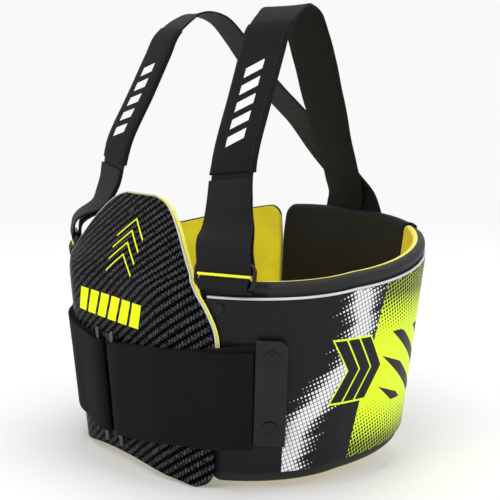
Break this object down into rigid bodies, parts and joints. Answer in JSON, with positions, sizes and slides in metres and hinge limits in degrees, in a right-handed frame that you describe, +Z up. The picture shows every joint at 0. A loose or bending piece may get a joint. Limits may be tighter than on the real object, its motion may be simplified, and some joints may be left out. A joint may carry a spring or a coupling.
{
  "type": "rib protector",
  "caption": "Kart racing rib protector with padded side shells, a chest plate, wide elastic belts and shoulder straps crossed at the back.",
  "frame": {"origin": "middle of the torso opening, level with the middle of the side shells", "axes": "+Z up, -Y to the wearer's front, +X to the wearer's left"},
  "size_m": [0.3446, 0.2791, 0.3882],
  "materials": {
    "shell": "printed sheet, satin",
    "piping": "light grey piping",
    "liner": "yellow synthetic leather over foam",
    "panel": "black synthetic leather over foam",
    "carbon": "clear coated carbon twill",
    "elastic": "woven elastic",
    "metal": "black coated",
    "steel": "bare steel",
    "webbing": "ribbed nylon webbing",
    "sleeve": "padded cloth",
    "lock_plastic": "moulded",
    "bar_plastic": "moulded"
  },
  "bodies": {
    "root": {"left_shell": "shell", "right_shell": "shell", "left_shell_piping": "piping", "right_shell_piping": "piping", "plate_piping": "piping", "left_pad": "liner", "right_pad": "liner", "chest_pad": "liner", "back_panel": "panel", "chest_plate": "carbon", "left_belt": "elastic", "right_belt": "elastic", "left_belt_bracket": "metal", "right_belt_bracket": "metal", "left_bracket_rivet_upper": "metal", "left_bracket_rivet_lower": "metal", "right_bracket_rivet_upper": "metal", "right_bracket_rivet_lower": "metal", "left_shell_rivet": "metal", "right_shell_rivet": "metal", "chest_plate_rivet": "metal", "centre_buckle": "metal", "buckle_rivet_upper": "metal", "buckle_rivet_lower": "metal", "left_belt_pin": "steel", "right_belt_pin": "steel", "left_shoulder_strap": "webbing", "right_shoulder_strap": "webbing", "left_strap_anchor": "webbing", "right_strap_anchor": "webbing", "left_strap_sleeve": "sleeve", "right_strap_sleeve": "sleeve", "left_ladder_lock": "lock_plastic", "right_ladder_lock": "lock_plastic", "left_lock_bar": "bar_plastic", "right_lock_bar": "bar_plastic"}
  },
  "joints": []
}
